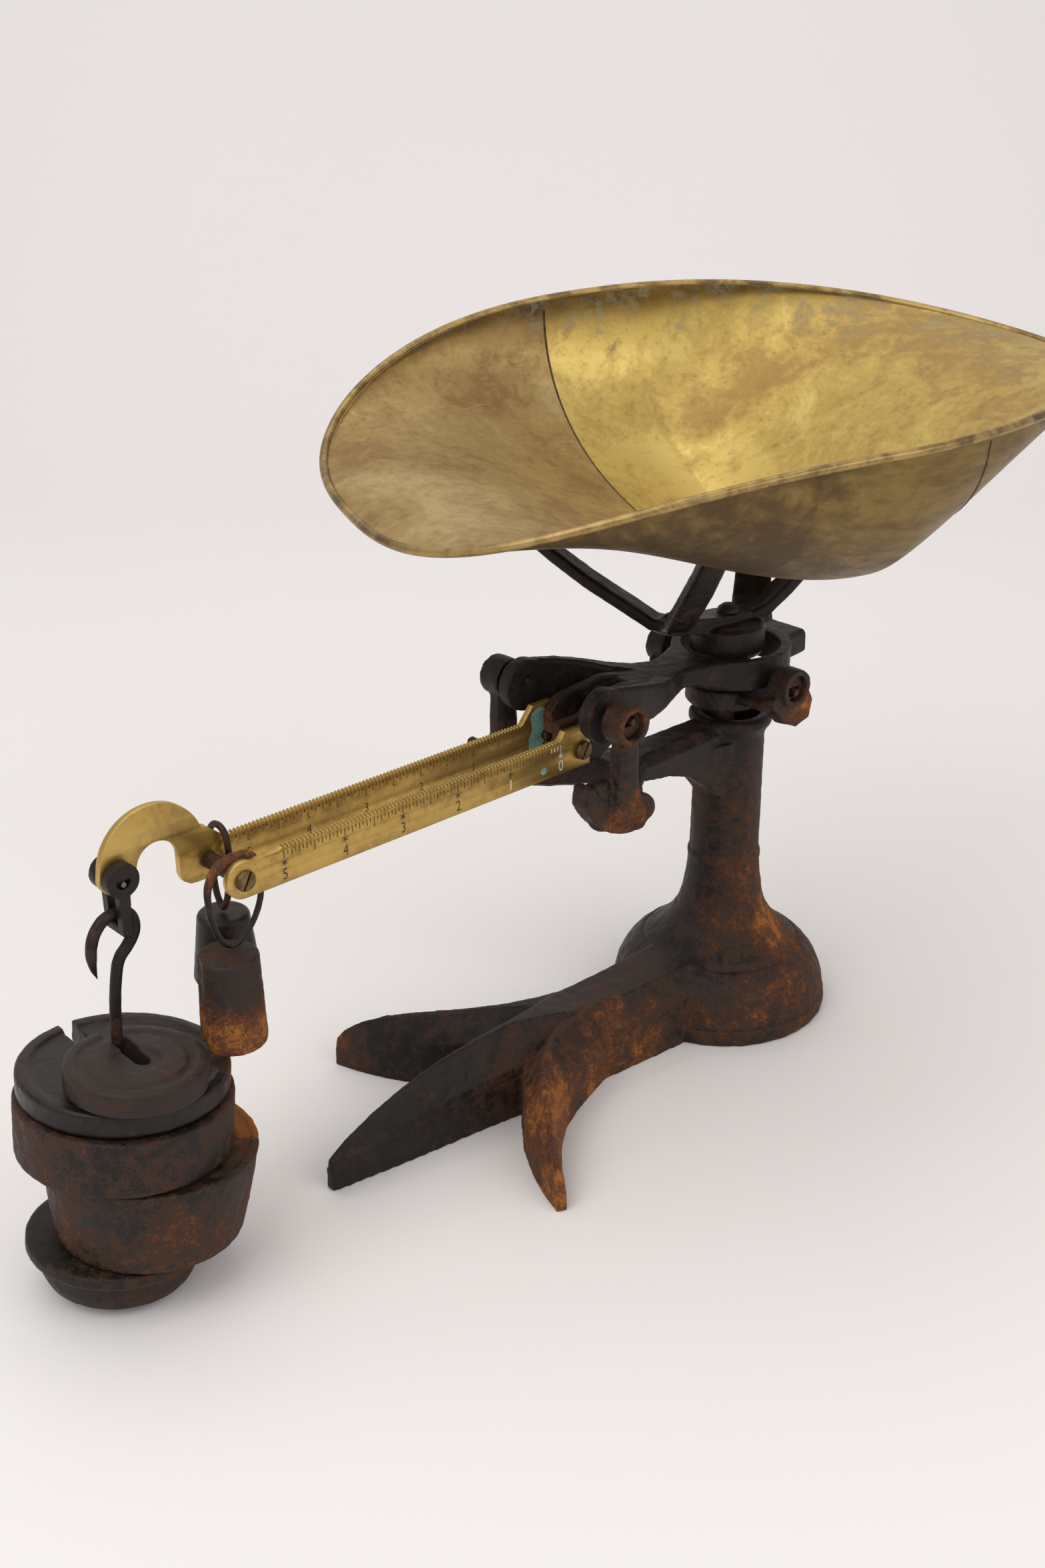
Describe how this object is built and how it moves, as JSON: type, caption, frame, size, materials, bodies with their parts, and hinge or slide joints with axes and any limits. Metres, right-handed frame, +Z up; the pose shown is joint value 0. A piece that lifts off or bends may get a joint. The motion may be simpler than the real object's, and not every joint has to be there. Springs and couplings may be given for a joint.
{
  "type": "bench scale",
  "caption": "Cast iron counter beam scale with a boat-shaped brass scoop, two graduated brass bars, hanging poises and a hanger of slotted weights.",
  "frame": {"origin": "middle of the whole scale's plan, on the surface it stands on", "axes": "+X runs along the beam from the hanging weights towards the scoop, -Y is the front with the graduated bar, +Z is up"},
  "size_m": [0.5702, 0.3012, 0.3762],
  "materials": {
    "black_iron": "worn black coating over cast iron with brown patina",
    "rusty_iron": "dark cast iron with orange and brown rust",
    "steel": "dull hardened steel",
    "brass": "old olive brass with dark stains and verdigris",
    "scoop_brass": "hammered brass sheet with brown patina and soldered seams"
  },
  "bodies": {
    "stand": {"pedestal": "rusty_iron", "leg": "rusty_iron", "bracket": "black_iron", "check_stud": "steel", "front_fulcrum_bearing": "steel", "rear_fulcrum_bearing": "steel"},
    "beam": {"lever": "black_iron", "front_bar": "brass", "rear_bar": "brass", "bar_spacer": "black_iron", "balance_screw": "black_iron", "front_fulcrum_pivot": "steel", "rear_fulcrum_pivot": "steel", "front_load_pivot": "steel", "rear_load_pivot": "steel", "front_lever_screw": "brass", "front_tip_screw": "brass", "rear_lever_screw": "brass", "rear_tip_screw": "brass", "tip_pivot": "steel"},
    "carrier": {"yoke": "black_iron", "stem": "steel", "spider": "black_iron", "hub_rivet": "black_iron", "guide_rod": "black_iron", "check_pin": "steel", "front_load_bearing": "steel", "rear_load_bearing": "steel"},
    "check_link": {"check_link": "steel"},
    "scoop": {"scoop_blunt_sheet": "scoop_brass", "scoop_middle_sheet": "scoop_brass", "scoop_narrow_sheet": "scoop_brass", "scoop_rim": "scoop_brass"},
    "front_poise": {"front_loop": "black_iron", "front_poise": "rusty_iron"},
    "rear_loop": {"rear_loop": "black_iron"},
    "rear_poise": {"rear_poise": "black_iron"},
    "stirrup": {"stirrup": "black_iron"},
    "hanger": {"hanger_hook": "black_iron", "hanger_base": "rusty_iron"},
    "weight_top": {"weight_top": "rusty_iron"},
    "weight_second": {"weight_second": "black_iron"},
    "weight_third": {"weight_third": "rusty_iron"},
    "weight_bottom": {"weight_bottom": "rusty_iron"}
  },
  "joints": [
    {"name": "beam_swing", "type": "hinge", "parent": "stand", "child": "beam", "pos_m": [0.00693, 0.00919, 0.2096], "axis": [0, 1, 0], "range_deg": [0, 3]},
    {"name": "carrier_swing", "type": "hinge", "parent": "beam", "child": "carrier", "pos_m": [0.12393, 0.00919, 0.1977], "axis": [0, 1, 0], "range_deg": [-3, 0]},
    {"name": "check_link_swing", "type": "hinge", "parent": "stand", "child": "check_link", "pos_m": [0.00693, 0.00919, 0.03], "axis": [0, 1, 0], "range_deg": [0, 3]},
    {"name": "scoop_lift", "type": "slide", "parent": "carrier", "child": "scoop", "axis": [0, 0, 1], "range_m": [0, 0.12]},
    {"name": "front_poise_lift", "type": "slide", "parent": "beam", "child": "front_poise", "axis": [0, 0, 1], "range_m": [0, 0.012]},
    {"name": "rear_loop_travel", "type": "slide", "parent": "beam", "child": "rear_loop", "axis": [0.9999, 0, 0.0168], "range_m": [0, 0.16]},
    {"name": "rear_poise_swing", "type": "hinge", "parent": "rear_loop", "child": "rear_poise", "pos_m": [-0.17737, 0.02779, 0.1568], "axis": [0, 1, 0], "range_deg": [-10, 0]},
    {"name": "stirrup_swing", "type": "hinge", "parent": "beam", "child": "stirrup", "pos_m": [-0.22987, 0.02289, 0.1915], "axis": [0, 1, 0], "range_deg": [0, 8]},
    {"name": "hanger_swing", "type": "hinge", "parent": "stirrup", "child": "hanger", "pos_m": [-0.23037, 0.02289, 0.1704], "axis": [0, 1, 0], "range_deg": [0, 8]},
    {"name": "weight_top_slide", "type": "slide", "parent": "hanger", "child": "weight_top", "axis": [0, -1, 0], "range_m": [0, 0.09]},
    {"name": "weight_second_slide", "type": "slide", "parent": "hanger", "child": "weight_second", "axis": [0, -1, 0], "range_m": [0, 0.09]},
    {"name": "weight_third_slide", "type": "slide", "parent": "hanger", "child": "weight_third", "axis": [0, -1, 0], "range_m": [0, 0.09]},
    {"name": "weight_bottom_slide", "type": "slide", "parent": "hanger", "child": "weight_bottom", "axis": [0, -1, 0], "range_m": [0, 0.09]}
  ],
  "couplings": [
    {"joint": "carrier_swing", "follows": "beam_swing", "ratio": -1},
    {"joint": "check_link_swing", "follows": "beam_swing", "ratio": 1}
  ]
}
